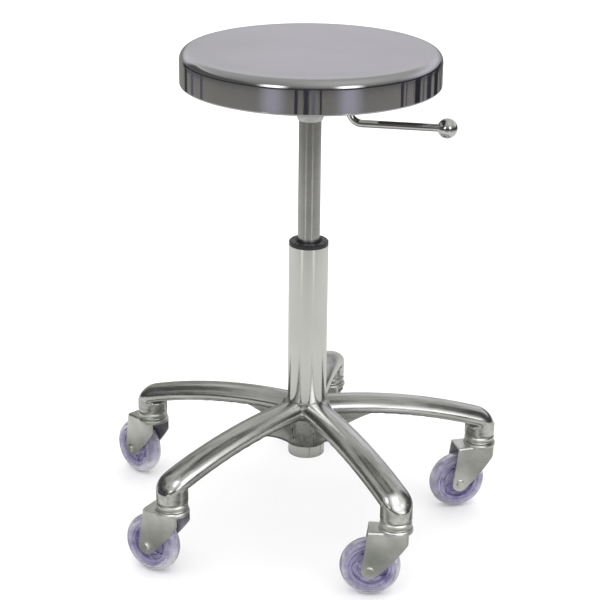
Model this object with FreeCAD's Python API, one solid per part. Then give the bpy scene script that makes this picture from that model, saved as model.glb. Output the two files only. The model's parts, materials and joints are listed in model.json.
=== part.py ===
"""Dentist stool: a round stainless seat on a gas lift, carried by a five-arm cast base on swivel casters.

Millimetres, +Z up. The origin is on the floor, below the column's axis. Arm 1 points along +X.
The gas lift is drawn at its full height, with the release lever at rest.
Every piece is written to parts/NODE.step as its own solid; identical small pieces share a node.
"""

import FreeCAD, Part
import math
import os

from FreeCAD import Placement, Rotation, Vector

# ---------------------------------------------------------------- driving dimensions
ARM_COUNT = 5
ARM_STEP = 360.0 / ARM_COUNT
ARM_REACH = 235.0                # column axis to caster stem axis
SOCKET_FACE_Z = 101.5            # lower face of the caster sockets
SOCKET_RADIUS = 19.8

WHEEL_RADIUS = 37.5
WHEEL_WIDTH = 24.5
TRAIL = 30.0                     # stem axis to wheel axle
HEADINGS = (186.0, 155.0, 125.0, 139.0, 167.0)   # where each fork trails, from +X about +Z

COLUMN_RADIUS = 25.0
COLUMN_TOP_Z = 380.0
COLUMN_FOOT_Z = 92.0
COLUMN_FOOT_RADIUS = 23.4
COLUMN_TAPER_TOP_Z = 172.0
COLUMN_WALL = 2.0

TUBE_RADIUS = 14.0
TUBE_BOTTOM_Z = 305.0
TUBE_TOP_Z = 589.0
ROD_RADIUS = 5.0

SEAT_RADIUS = 160.5
SEAT_TOP_Z = 630.0
SEAT_RIM_Z = 588.5
SHEET = 1.2                      # thickness of the seat's pressed sheet

LEVER_HEADING = -19.4            # where the release lever points, from +X about +Z
LEVER_REACH = 169.0              # column axis to knob centre
LEVER_ROD_RADIUS = 4.75
LEVER_PIVOT = (17.0, 601.0)      # out from the column axis, and up
LEVER_LOW_Z = 540.5
KNOB_RADIUS = 12.5

FIT = 0.05                       # radial clearance of a running fit
GAP = 0.4                        # clearance between pieces that pass each other
Z_AXIS = Vector(0, 0, 1)
X_AXIS = Vector(1, 0, 0)
Y_AXIS = Vector(0, 1, 0)
ORIGIN = Vector(0, 0, 0)


# ---------------------------------------------------------------- helpers
def save(node, *solids):
    """Writes a node's solids to parts/NODE.step."""
    shape = solids[0] if len(solids) == 1 else Part.makeCompound(list(solids))
    shape.exportStep(f"parts/{node}.step")


def cylinder(radius, bottom, top, x=0.0, y=0.0):
    return Part.makeCylinder(radius, top - bottom, Vector(x, y, bottom), Z_AXIS)


def ring(outer, inner, bottom, top):
    return cylinder(outer, bottom, top).cut(cylinder(inner, bottom - 1, top + 1))


def edge_wire(*edges):
    """One wire from edges, or from lists of edges, in order."""
    flat = []
    for item in edges:
        flat.extend(item if isinstance(item, list) else [item])
    return Part.Wire(flat)


def line(a, b):
    return Part.LineSegment(a, b).toShape()


def arc(a, middle, b):
    return Part.Arc(a, middle, b).toShape()


def polyline(points):
    return [line(points[i], points[i + 1]) for i in range(len(points) - 1)]


def turned(outline):
    """Revolves a closed outline of (radius, z) corners about the Z axis."""
    points = [Vector(r, 0, z) for r, z in outline]
    face = Part.Face(Part.Wire(polyline(points + points[:1])))
    return face.revolve(ORIGIN, Z_AXIS, 360)


def turned_wire(*edges):
    """Revolves a closed wire in the XZ plane about the Z axis."""
    return Part.Face(edge_wire(*edges)).revolve(ORIGIN, Z_AXIS, 360)


def placed(shape, turn, x=0.0, y=0.0):
    """A copy turned about Z by degrees, then moved to x, y."""
    copy = shape.copy()
    copy.Placement = Placement(Vector(x, y, 0), Rotation(Z_AXIS, turn)).multiply(copy.Placement)
    return copy


def corner_arc(centre_r, centre_z, radius, start, end):
    """An arc in the XZ plane about a centre, between two angles in degrees from +X towards +Z."""
    def at(angle):
        a = math.radians(angle)
        return Vector(centre_r + radius * math.cos(a), 0, centre_z + radius * math.sin(a))
    return arc(at(start), at((start + end) / 2), at(end))


def hexagon(across_flats, bottom, top):
    """A hexagonal prism along Z."""
    corner = across_flats / math.sqrt(3)
    points = [
        Vector(corner * math.cos(math.radians(60 * i)), corner * math.sin(math.radians(60 * i)), bottom)
        for i in range(6)
    ]
    return Part.Face(Part.Wire(polyline(points + points[:1]))).extrude(Vector(0, 0, top - bottom))


def across(shape, z, x=0.0):
    """A copy of a shape drawn along Z, laid along Y at x and z."""
    copy = shape.copy()
    copy.Placement = Placement(Vector(x, 0, z), Rotation(X_AXIS, 90)).multiply(copy.Placement)
    return copy


def bent_rod(points, bends, radius):
    """A round rod along straight runs joined by tangent arcs, in the XZ plane."""
    corners = [Vector(x, 0, z) for x, z in points]
    edges = []
    start = corners[0]
    for i, bend in enumerate(bends, start=1):
        before = (corners[i - 1] - corners[i]).normalize()
        after = (corners[i + 1] - corners[i]).normalize()
        half_turn = (math.pi - before.getAngle(after)) / 2
        tangent = bend * math.tan(half_turn)
        enter = corners[i] + before * tangent
        leave = corners[i] + after * tangent
        inward = (before + after).normalize()
        middle = corners[i] + inward * (bend / math.cos(half_turn) - bend)
        edges += [line(start, enter), arc(enter, middle, leave)]
        start = leave
    edges.append(line(start, corners[-1]))
    path = Part.Wire(edges)
    heading = corners[1] - corners[0]
    profile = Part.Wire([Part.Circle(corners[0], heading, radius).toShape()])
    return path.makePipeShell([profile], True, True)


# ---------------------------------------------------------------- base casting
ARM_CROWN_REACH = 30.0           # where the arm's arch is highest
ARM_CROWN_Z = 157.0              # the arm's parting line there
ARM_ARCH_RADIUS = 680.0
ARM_HALF_WIDTH = 20.4
ARM_TOP = 13.0                   # parting line to crown
ARM_LIP = 7.0                    # parting line to lower lip
LIP_RADIUS = 4.0
ARM_WALL = 4.5
BEND_RADIUS = 18.0               # parting line to the centre of the bend at the tip
BEND_START = 17.02               # degrees along the arch where the bend takes over
ARM_ROOT = -1.5                  # degrees along the arch where the arm starts, inside the hub
CHANNEL_ARC = (1.4, 14.8)        # degrees along the arch
CHANNEL_HALF_WIDTH = 15.9
HUB_RADIUS = 30.0
HUB_TOP_Z = 169.5
HUB_FOOT_Z = 107.0
RIB_THICKNESS = 5.0
STEM_RADIUS = 5.5
STEM_TOP_Z = 124.0


def column_radius_at(z):
    """The column's outer radius inside its tapered seat."""
    share = (z - COLUMN_FOOT_Z) / (COLUMN_TAPER_TOP_Z - COLUMN_FOOT_Z)
    return COLUMN_FOOT_RADIUS + share * (COLUMN_RADIUS - COLUMN_FOOT_RADIUS)


def arch_z(reach):
    """Height of the arm's parting line at a distance from the column axis."""
    drop = reach - ARM_CROWN_REACH
    return ARM_CROWN_Z - ARM_ARCH_RADIUS + math.sqrt(ARM_ARCH_RADIUS**2 - drop**2)


def arch_centre():
    return Vector(ARM_CROWN_REACH, 0, ARM_CROWN_Z - ARM_ARCH_RADIUS)


def along_arch(face, start, end):
    """Sweeps a face drawn at the arch's crown along the arch, from start to end in degrees."""
    face.rotate(arch_centre(), Y_AXIS, start)
    return face.revolve(arch_centre(), Y_AXIS, end - start)


def arm_section():
    """The arm's section at the arch's crown: a half-ellipse over two short walls with rounded lips."""
    foot = Vector(ARM_CROWN_REACH, 0, ARM_CROWN_Z)

    def at(y, height):
        return foot + Vector(0, y, height)
    half = ARM_HALF_WIDTH
    crown = Part.ArcOfEllipse(Part.Ellipse(at(half, 0), at(0, ARM_TOP), foot), 0, math.pi)
    wall = LIP_RADIUS - ARM_LIP
    flat = half - LIP_RADIUS
    slant = LIP_RADIUS * math.sqrt(0.5)
    return Part.Face(Part.Wire([
        crown.toShape(),
        line(at(-half, 0), at(-half, wall)),
        arc(at(-half, wall), at(-flat - slant, wall - slant), at(-flat, -ARM_LIP)),
        line(at(-flat, -ARM_LIP), at(flat, -ARM_LIP)),
        arc(at(flat, -ARM_LIP), at(flat + slant, wall - slant), at(half, wall)),
        line(at(half, wall), at(half, 0)),
    ]))


def channel_section():
    """The open hollow under an arm: a round-topped slot that runs past the lower lip."""
    half = CHANNEL_HALF_WIDTH
    foot = ARM_CROWN_Z - ARM_LIP - 6.0
    shoulder = ARM_CROWN_Z - 1.0
    crown = ARM_CROWN_Z + ARM_TOP - ARM_WALL
    reach = ARM_CROWN_REACH
    outline = ((-half, foot), (-half, shoulder), (half, shoulder), (half, foot))
    corners = [Vector(reach, y, z) for y, z in outline]
    return Part.Face(Part.Wire([
        line(corners[0], corners[1]),
        arc(corners[1], Vector(reach, 0, crown), corners[2]),
        line(corners[2], corners[3]),
        line(corners[3], corners[0]),
    ]))


def bend():
    """The arm's section turned down into the socket, and rounded in plan like the socket."""
    turn = math.radians(BEND_START)
    outward = Vector(math.sin(turn), 0, math.cos(turn))
    centre = arch_centre() + outward * (ARM_ARCH_RADIUS - BEND_RADIUS)
    face = arm_section()
    face.rotate(arch_centre(), Y_AXIS, BEND_START)
    turned_down = face.revolve(centre, Y_AXIS, 90 - BEND_START)
    before = Part.makeBox(100, 100, 100, Vector(ARM_REACH - 102, -50, 80))
    round_plan = cylinder(SOCKET_RADIUS, 80, 180, ARM_REACH)
    return turned_down.common(before.fuse(round_plan))


def rib():
    """The upright web that ties an arm's underside to the foot of the hub."""
    inner = column_radius_at(HUB_FOOT_Z) + 1.0
    y = -RIB_THICKNESS / 2
    start = Vector(inner, y, HUB_FOOT_Z)
    middle = Vector(55, y, 128)
    end = Vector(112, y, arch_z(112) - ARM_LIP + 1)
    top_out = Vector(112, y, arch_z(112) + 4)
    top_in = Vector(inner, y, arch_z(inner) + 4)
    wire = edge_wire(arc(start, middle, end), polyline([end, top_out, top_in, start]))
    return Part.Face(wire).extrude(Vector(0, RIB_THICKNESS, 0))


def base_arm():
    """One arm with its open underside, its bend and its caster socket."""
    arm = along_arch(arm_section(), ARM_ROOT, BEND_START)
    channel = along_arch(channel_section(), *CHANNEL_ARC)
    socket = cylinder(SOCKET_RADIUS, SOCKET_FACE_Z, 118, ARM_REACH)
    return arm.cut(channel).fuse(bend()).fuse(socket).fuse(rib())


def hub():
    shoulder = 4.0
    outline = [
        (15.0, HUB_FOOT_Z),
        (column_radius_at(HUB_FOOT_Z) + 1.8, HUB_FOOT_Z),
        (HUB_RADIUS - 2.0, 128.0),
        (HUB_RADIUS, 146.0),
        (HUB_RADIUS, HUB_TOP_Z - shoulder),
        (HUB_RADIUS - shoulder, HUB_TOP_Z),
        (15.0, HUB_TOP_Z),
    ]
    return turned(outline)


def base_casting():
    arm = base_arm()
    casting = hub()
    for i in range(ARM_COUNT):
        casting = casting.fuse(placed(arm, i * ARM_STEP))
    seat_for_column = Part.makeCone(
        COLUMN_FOOT_RADIUS, COLUMN_RADIUS, COLUMN_TAPER_TOP_Z - COLUMN_FOOT_Z, Vector(0, 0, COLUMN_FOOT_Z)
    )
    casting = casting.cut(seat_for_column).cut(cylinder(COLUMN_RADIUS, COLUMN_TAPER_TOP_Z, 190))
    for i in range(ARM_COUNT):
        x, y = stem_place(i)
        casting = casting.cut(cylinder(STEM_RADIUS, SOCKET_FACE_Z - 1, STEM_TOP_Z + 1, x, y))
    return casting.Solids[0]


def stem_place(i):
    angle = math.radians(i * ARM_STEP)
    return ARM_REACH * math.cos(angle), ARM_REACH * math.sin(angle)


# ---------------------------------------------------------------- gas lift
CAP_HEIGHT = 5.5
CAP_NOTCHES = 6
SLEEVE_BOTTOM_Z = 300.0
FLOOR_PLATE_Z = (97.0, 101.0)
LOWER_WASHER_Z = (101.0, 102.5)
BALL_RADIUS = 2.0
BEARING_BALLS = 10
BEARING_PITCH = 9.5
UPPER_WASHER_Z = (106.5, 108.0)
BUMPER_Z = (108.0, 169.5)
GLAND_TOP_Z = 322.0
TUBE_WALL = 1.5
PISTON_Z = (330.0, 346.0)
VALVE_BODY_Z = (560.0, 587.0)
PIN_RADIUS = 3.5
PIN_TOP_Z = 595.9
TAPER_Z = 548.0
TUBE_TOP_RADIUS = 13.2


def outer_column():
    foot_bore = COLUMN_FOOT_RADIUS - COLUMN_WALL
    bore = COLUMN_RADIUS - COLUMN_WALL
    return turned([
        (foot_bore, COLUMN_FOOT_Z),
        (COLUMN_FOOT_RADIUS, COLUMN_FOOT_Z),
        (COLUMN_RADIUS, COLUMN_TAPER_TOP_Z),
        (COLUMN_RADIUS, COLUMN_TOP_Z),
        (bore, COLUMN_TOP_Z),
        (bore, COLUMN_TAPER_TOP_Z),
    ])


def column_cap():
    """The black plastic ring on the column's top, with small moulded notches."""
    top = COLUMN_TOP_Z + CAP_HEIGHT
    spigot = COLUMN_RADIUS - COLUMN_WALL
    inner = TUBE_RADIUS + 2 * GAP
    cap = turned([
        (inner, COLUMN_TOP_Z - 3),
        (spigot, COLUMN_TOP_Z - 3),
        (spigot, COLUMN_TOP_Z),
        (COLUMN_RADIUS, COLUMN_TOP_Z),
        (COLUMN_RADIUS, top - 1.2),
        (COLUMN_RADIUS - 1.2, top),
        (inner + 2.6, top),
        (inner, top - 2.6),
    ])
    notch = Part.makeBox(3.0, 2.6, 2.0, Vector(COLUMN_RADIUS - 5.6, -1.3, top - 1.5))
    for i in range(CAP_NOTCHES):
        cap = cap.cut(placed(notch, 30 + i * 360 / CAP_NOTCHES))
    return cap


def guide_sleeve():
    top = COLUMN_TOP_Z - 3
    sleeve = ring(COLUMN_RADIUS - COLUMN_WALL, TUBE_RADIUS + FIT, SLEEVE_BOTTOM_Z, top)
    relief = ring(COLUMN_RADIUS, COLUMN_RADIUS - COLUMN_WALL - 2.5, SLEEVE_BOTTOM_Z + 16, top - 16)
    return sleeve.cut(relief)


def column_floor_plate():
    low, high = FLOOR_PLATE_Z
    return turned([
        (ROD_RADIUS + FIT, low),
        (column_radius_at(low) - COLUMN_WALL, low),
        (column_radius_at(high) - COLUMN_WALL, high),
        (ROD_RADIUS + FIT, high),
    ])


def bearing_balls():
    z = (LOWER_WASHER_Z[1] + UPPER_WASHER_Z[0]) / 2
    ball = Part.makeSphere(BALL_RADIUS - 0.01, Vector(BEARING_PITCH, 0, z))
    return [placed(ball, i * 360 / BEARING_BALLS) for i in range(BEARING_BALLS)]


def piston_rod():
    """The rod with its clip groove at the foot and the piston's seat at the top."""
    rod = cylinder(ROD_RADIUS, 93.5, PISTON_Z[1] + 2)
    groove = ring(ROD_RADIUS + 1, ROD_RADIUS - 0.8, 95.3, 96.6)
    return rod.cut(groove)


def rod_clip():
    clip = ring(9.0, ROD_RADIUS - 0.8, 95.3, 96.6)
    opening = Part.makeBox(12, 5, 4, Vector(0, -2.5, 94))
    return clip.cut(opening)


def upper_washer():
    return ring(13.0, ROD_RADIUS, *UPPER_WASHER_Z)


def lower_washer():
    return ring(13.0, ROD_RADIUS + FIT, *LOWER_WASHER_Z)


def bumper():
    low, high = BUMPER_Z
    return turned([(ROD_RADIUS, low), (12.5, low), (12.5, high - 6), (10.5, high), (ROD_RADIUS, high)])


def piston():
    low, high = PISTON_Z
    bore = TUBE_RADIUS - TUBE_WALL
    body = ring(bore - 0.3, ROD_RADIUS, low, high)
    return body.cut(ring(bore + 1, bore - 2.3, low + 6, low + 10))


def piston_seal():
    bore = TUBE_RADIUS - TUBE_WALL
    return ring(bore - FIT, bore - 2.3, PISTON_Z[0] + 6, PISTON_Z[0] + 10)


def pressure_tube():
    bore = TUBE_RADIUS - TUBE_WALL
    return turned([
        (bore, TUBE_BOTTOM_Z),
        (TUBE_RADIUS - 0.8, TUBE_BOTTOM_Z),
        (TUBE_RADIUS, TUBE_BOTTOM_Z + 2),
        (TUBE_RADIUS, TAPER_Z),
        (TUBE_TOP_RADIUS, TUBE_TOP_Z),
        (PIN_RADIUS + FIT, TUBE_TOP_Z),
        (PIN_RADIUS + FIT, VALVE_BODY_Z[1]),
        (TUBE_TOP_RADIUS - TUBE_WALL, VALVE_BODY_Z[1]),
        (TUBE_TOP_RADIUS - TUBE_WALL, VALVE_BODY_Z[0]),
        (bore, VALVE_BODY_Z[0] - 2),
    ])


def rod_gland():
    bore = TUBE_RADIUS - TUBE_WALL
    return ring(bore, ROD_RADIUS + FIT, TUBE_BOTTOM_Z + 1, GLAND_TOP_Z)


def valve_body():
    low, high = VALVE_BODY_Z
    outer = ring(TUBE_TOP_RADIUS - TUBE_WALL, PIN_RADIUS + FIT, low + 12, high)
    floor = cylinder(TUBE_TOP_RADIUS - TUBE_WALL, low, low + 12)
    return outer.fuse(floor).removeSplitter()


def valve_pin():
    """The release pin: a plunger in the valve body with its button above the tube."""
    foot = VALVE_BODY_Z[0] + 16
    pin = cylinder(PIN_RADIUS, foot, PIN_TOP_Z)
    return pin.makeFillet(0.8, [e for e in pin.Edges if abs(e.BoundBox.ZMin - PIN_TOP_Z) < 1e-6])


# ---------------------------------------------------------------- seat
EDGE_RADIUS = 10.5               # the tight outer edge of the seat
FLAT_RADIUS = 146.0              # the flat middle of the seat
CROWN_RADIUS = 60.0              # the easy fall from the flat to the edge
HEM_WIDTH = 6.0
BOARD_THICKNESS = 15.0
PLATE_THICKNESS = 3.0
PLATE_HALF = 75.0
PLATE_CORNER = 12.0
SCREW_SPACING = 120.0
NOSE_RADIUS = 17.6
NOSE_FOOT_Z = 542.0
HOUSING_Z = 588.0
HOUSING_HALF_Y = 19.0
HOUSING_X = (-22.0, 25.0)
LEVER_SLOT_HALF = 6.0
PIVOT_RADIUS = 2.5

SHELL_UNDER_Z = SEAT_TOP_Z - SHEET
BOARD_Z = (SHELL_UNDER_Z - BOARD_THICKNESS, SHELL_UNDER_Z)
PLATE_Z = (BOARD_Z[0] - PLATE_THICKNESS, BOARD_Z[0])


def crown_angle():
    """How far the seat's easy crown turns before the tight edge takes over."""
    run = SEAT_RADIUS - EDGE_RADIUS - FLAT_RADIUS
    return math.asin(run / (CROWN_RADIUS - EDGE_RADIUS))


def seat_skin(offset, bottom):
    """The seat's outline from the middle of its top to the foot of its wall, pushed in by offset."""
    turn = crown_angle()
    crown_z = SEAT_TOP_Z - CROWN_RADIUS
    edge_r = SEAT_RADIUS - EDGE_RADIUS
    edge_z = crown_z + (CROWN_RADIUS - EDGE_RADIUS) * math.cos(turn)
    top = SEAT_TOP_Z - offset
    wall = SEAT_RADIUS - offset
    up = 90.0
    lean = up - math.degrees(turn)
    return [
        line(Vector(0, 0, top), Vector(FLAT_RADIUS, 0, top)),
        corner_arc(FLAT_RADIUS, crown_z, CROWN_RADIUS - offset, up, lean),
        corner_arc(edge_r, edge_z, EDGE_RADIUS - offset, lean, 0),
        line(Vector(wall, 0, edge_z), Vector(wall, 0, bottom)),
    ]


def seat_solid(offset, bottom):
    """The solid inside the seat's outline, pushed in by offset."""
    wall = SEAT_RADIUS - offset
    closing = polyline([Vector(wall, 0, bottom), Vector(0, 0, bottom), Vector(0, 0, SEAT_TOP_Z - offset)])
    return turned_wire(seat_skin(offset, bottom), closing)


def seat_shell():
    """The pressed seat: a pan of sheet, open below, with its hem turned inwards."""
    pan = seat_solid(0.0, SEAT_RIM_Z).cut(seat_solid(SHEET, SEAT_RIM_Z - 1))
    hem = ring(SEAT_RADIUS - SHEET / 2, SEAT_RADIUS - HEM_WIDTH, SEAT_RIM_Z, SEAT_RIM_Z + SHEET)
    return pan.fuse(hem).removeSplitter()


def seat_board():
    low, high = BOARD_Z
    return turned([(0, low), (138.0, low), (138.0, high - 2), (136.0, high), (0, high)])


def screw_places():
    half = SCREW_SPACING / 2
    return [(x, y) for x in (-half, half) for y in (-half, half)]


def mounting_plate():
    low, high = PLATE_Z
    plate = Part.makeBox(2 * PLATE_HALF, 2 * PLATE_HALF, high - low, Vector(-PLATE_HALF, -PLATE_HALF, low))
    upright = [e for e in plate.Edges if abs(e.BoundBox.ZLength - (high - low)) < 1e-6]
    plate = plate.makeFillet(PLATE_CORNER, upright)
    for x, y in screw_places():
        plate = plate.cut(cylinder(3.0, low - 1, high + 1, x, y))
    return placed(plate, LEVER_HEADING)


def seat_screws():
    """Pan-head screws up through the plate into the board."""
    low = PLATE_Z[0]
    screws = []
    for x, y in screw_places():
        shank = cylinder(3.0, low, low + 14, x, y)
        head = cylinder(6.0, low - 3.5, low, x, y)
        head = head.makeFillet(2.0, [e for e in head.Edges if abs(e.BoundBox.ZMax - (low - 3.5)) < 1e-6])
        cross = Part.makeBox(6, 1.2, 2, Vector(x - 3, y - 0.6, low - 3.6))
        screws.append(placed(shank.fuse(head).cut(cross).removeSplitter(), LEVER_HEADING))
    return screws


def board_with_screw_holes():
    board = seat_board()
    for x, y in screw_places():
        hole = cylinder(3.0, BOARD_Z[0] - 1, PLATE_Z[0] + 14, x, y)
        board = board.cut(placed(hole, LEVER_HEADING))
    return board


def seat_socket():
    """The cast socket that grips the tube's taper, with a slotted housing for the lever."""
    barrel = turned([
        (0, NOSE_FOOT_Z),
        (TUBE_RADIUS + 1.2, NOSE_FOOT_Z),
        (NOSE_RADIUS - 0.6, NOSE_FOOT_Z + 5),
        (NOSE_RADIUS, NOSE_FOOT_Z + 9),
        (NOSE_RADIUS + 2.2, PLATE_Z[0]),
        (0, PLATE_Z[0]),
    ])
    x0, x1 = HOUSING_X
    housing = Part.makeBox(
        x1 - x0, 2 * HOUSING_HALF_Y, PLATE_Z[0] - HOUSING_Z, Vector(x0, -HOUSING_HALF_Y, HOUSING_Z)
    )
    upright = [e for e in housing.Edges if e.BoundBox.ZLength > 5]
    body = barrel.fuse(housing.makeFillet(5.0, upright))
    body = body.cut(cylinder(TUBE_RADIUS, NOSE_FOOT_Z - 1, TAPER_Z))
    body = body.cut(
        Part.makeCone(TUBE_RADIUS, TUBE_TOP_RADIUS, TUBE_TOP_Z - TAPER_Z, Vector(0, 0, TAPER_Z))
    )
    slot_foot = TUBE_TOP_Z
    slot = Part.makeBox(
        x1 + 16, 2 * LEVER_SLOT_HALF, PLATE_Z[0] - slot_foot + 1, Vector(-15, -LEVER_SLOT_HALF, slot_foot)
    )
    pivot_x, pivot_z = LEVER_PIVOT
    hole = across(Part.makeCylinder(PIVOT_RADIUS, 60, Vector(0, 0, -30)), pivot_z, pivot_x)
    return placed(body.cut(slot).cut(hole).removeSplitter(), LEVER_HEADING)


# ---------------------------------------------------------------- release lever
def release_lever():
    pivot_x, pivot_z = LEVER_PIVOT
    points = [
        (-8.0, pivot_z),
        (pivot_x + 11.0, pivot_z),
        (54.0, LEVER_LOW_Z),
        (LEVER_REACH - 5.0, LEVER_LOW_Z),
    ]
    rod = bent_rod(points, (10.0, 16.0), LEVER_ROD_RADIUS)
    hole = across(Part.makeCylinder(PIVOT_RADIUS + FIT, 30, Vector(0, 0, -15)), pivot_z, pivot_x)
    return placed(rod.cut(hole), LEVER_HEADING)


def lever_knob():
    ball = Part.makeSphere(KNOB_RADIUS, Vector(LEVER_REACH, 0, LEVER_LOW_Z))
    start = LEVER_REACH - KNOB_RADIUS - 5
    socket = Part.makeCylinder(
        LEVER_ROD_RADIUS, LEVER_REACH - 5 - start, Vector(start, 0, LEVER_LOW_Z), X_AXIS
    )
    return placed(ball.cut(socket), LEVER_HEADING)


def lever_pivot_pin():
    pivot_x, pivot_z = LEVER_PIVOT
    length = 2 * HOUSING_HALF_Y + 3
    pin = Part.makeCylinder(PIVOT_RADIUS, length, Vector(0, 0, -length / 2))
    return placed(across(pin, pivot_z, pivot_x), LEVER_HEADING)


# ---------------------------------------------------------------- casters
FORK_HALF_WIDTH = 16.5
FORK_SHEET = 2.5
FORK_TOP_Z = 89.5
FORK_TOP_RADIUS = 21.3
FORK_REAR = 33.0                 # stem axis to the rear of the fork's top
FORK_EYE_RADIUS = 10.8
CUP_RADIUS = 19.6
CUP_FOOT_Z = 93.2
RACE_PITCH = 13.5
RACE_BALL_RADIUS = 3.0
RACE_BALLS = 12
RACE_Z = FORK_TOP_Z + 6.72       # the plane of the balls' centres
RACE_FIT = 0.05                  # the groove's clearance round a ball
AXLE_RADIUS = 3.5
AXLE_FLATS = 10.0
AXLE_HEAD = 2.8
CORE_RADIUS = 26.0
CORE_HALF_WIDTH = 9.5
BEARING_RADIUS = 9.0
BEARING_WIDTH = 6.0
BOSS_HALF_WIDTH = FORK_HALF_WIDTH - FORK_SHEET - 0.5


def caster_stem():
    """The grip-neck stem, headed below the fork's top plate."""
    foot = FORK_TOP_Z - FORK_SHEET - 4.0
    stem = turned([
        (0, foot),
        (9.0, foot),
        (9.0, FORK_TOP_Z - FORK_SHEET - 0.3),
        (STEM_RADIUS, FORK_TOP_Z - FORK_SHEET - 0.3),
        (STEM_RADIUS, STEM_TOP_Z - 6),
        (STEM_RADIUS - 0.8, STEM_TOP_Z - 6),
        (STEM_RADIUS - 0.8, STEM_TOP_Z - 4),
        (STEM_RADIUS, STEM_TOP_Z - 4),
        (STEM_RADIUS - 1.2, STEM_TOP_Z),
        (0, STEM_TOP_Z),
    ])
    return stem


def race_cup():
    """The upper race: a pressed cup whose skirt hides the balls."""
    top = SOCKET_FACE_Z
    return turned([
        (STEM_RADIUS, top - 2.2),
        (STEM_RADIUS, top),
        (CUP_RADIUS - 1.0, top),
        (CUP_RADIUS, top - 1.0),
        (CUP_RADIUS, CUP_FOOT_Z),
        (CUP_RADIUS - 2.0, CUP_FOOT_Z),
        (CUP_RADIUS - 2.0, top - 2.2),
    ])


def race_ball_ring():
    ball = Part.makeSphere(RACE_BALL_RADIUS, Vector(RACE_PITCH, 0, RACE_Z))
    return [placed(ball, i * 360 / RACE_BALLS) for i in range(RACE_BALLS)]


def cheek_outline(y):
    """One cheek's edge in the plane at y: round below the axle, slanted in front, nearly upright behind."""
    axle_z = WHEEL_RADIUS
    rear_top = Vector(FORK_REAR, y, FORK_TOP_Z)
    front_top = Vector(-FORK_TOP_RADIUS, y, FORK_TOP_Z)
    front_drop = Vector(-FORK_TOP_RADIUS, y, FORK_TOP_Z - 6)

    def on_eye(angle):
        a = math.radians(angle)
        return Vector(TRAIL + FORK_EYE_RADIUS * math.cos(a), y, axle_z + FORK_EYE_RADIUS * math.sin(a))
    rear_angle, front_angle = -8.0, 222.0
    rear_eye, front_eye = on_eye(rear_angle), on_eye(front_angle)
    lowest = on_eye((rear_angle + front_angle - 360) / 2)
    waist = Vector(-1.8, y, 55.6)
    return edge_wire(
        line(front_top, rear_top),
        line(rear_top, rear_eye),
        arc(rear_eye, lowest, front_eye),
        arc(front_eye, waist, front_drop),
        line(front_drop, front_top),
    )


def fork():
    """The pressed yoke: a top plate with a raised race, and two cheeks down to the axle."""
    half = FORK_HALF_WIDTH
    inner = half - FORK_SHEET
    outside = Part.Face(cheek_outline(-half)).extrude(Vector(0, 2 * half, 0))
    front_round = cylinder(FORK_TOP_RADIUS, 0, FORK_TOP_Z)
    behind = Part.makeBox(80, 2 * half, FORK_TOP_Z, Vector(0, -half, 0))
    outside = outside.common(front_round.fuse(behind))
    long_edges = [
        e for e in outside.Edges
        if e.BoundBox.ZLength < 1e-6 and abs(e.BoundBox.ZMax - FORK_TOP_Z) < 1e-6
        and e.BoundBox.YLength < 1e-6 and e.BoundBox.XLength > 5
    ]
    outside = outside.makeFillet(3.0, long_edges)
    space = Part.makeBox(120, 2 * inner, FORK_TOP_Z - FORK_SHEET, Vector(-60, -inner, 0))
    yoke = outside.cut(space)
    disc = cylinder(FORK_TOP_RADIUS, FORK_TOP_Z - FORK_SHEET, FORK_TOP_Z)
    race = turned([
        (STEM_RADIUS + 2.0, FORK_TOP_Z - 0.5),
        (FORK_TOP_RADIUS, FORK_TOP_Z - 0.5),
        (FORK_TOP_RADIUS, FORK_TOP_Z + 0.6),
        (FORK_TOP_RADIUS - 0.5, FORK_TOP_Z + 1.8),
        (FORK_TOP_RADIUS - 1.6, FORK_TOP_Z + 2.8),
        (CUP_RADIUS - 2.5, FORK_TOP_Z + 3.0),
        (CUP_RADIUS - 2.8, FORK_TOP_Z + 4.6),
        (STEM_RADIUS + 2.0, FORK_TOP_Z + 4.6),
    ])
    groove = Part.makeTorus(RACE_PITCH, RACE_BALL_RADIUS + RACE_FIT, Vector(0, 0, RACE_Z))
    yoke = yoke.fuse(disc).fuse(race.cut(groove))
    yoke = yoke.cut(cylinder(STEM_RADIUS + FIT, 60, FORK_TOP_Z + 10))
    bore = across(Part.makeCylinder(AXLE_RADIUS, 80, Vector(0, 0, -40)), WHEEL_RADIUS, TRAIL)
    return yoke.cut(bore).removeSplitter()


def axle_bolt():
    """The hex-headed axle, its head outside one cheek."""
    half = FORK_HALF_WIDTH
    shank = Part.makeCylinder(AXLE_RADIUS, 2 * half + AXLE_HEAD, Vector(0, 0, -half - AXLE_HEAD))
    head = hexagon(AXLE_FLATS, half, half + AXLE_HEAD)
    crown = Part.makeCone(AXLE_FLATS * 0.62, AXLE_FLATS * 0.45, AXLE_HEAD + 0.6, Vector(0, 0, half - 0.6))
    return across(shank.fuse(head.common(crown)).removeSplitter(), WHEEL_RADIUS, TRAIL)


def axle_nut():
    half = FORK_HALF_WIDTH
    nut = hexagon(AXLE_FLATS, -half - AXLE_HEAD, -half)
    crown = Part.makeCone(
        AXLE_FLATS * 0.62, AXLE_FLATS * 0.45, AXLE_HEAD + 0.6, Vector(0, 0, -half + 0.6), Vector(0, 0, -1)
    )
    hole = Part.makeCylinder(AXLE_RADIUS, 80, Vector(0, 0, -40))
    return across(nut.common(crown).cut(hole), WHEEL_RADIUS, TRAIL)


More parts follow.
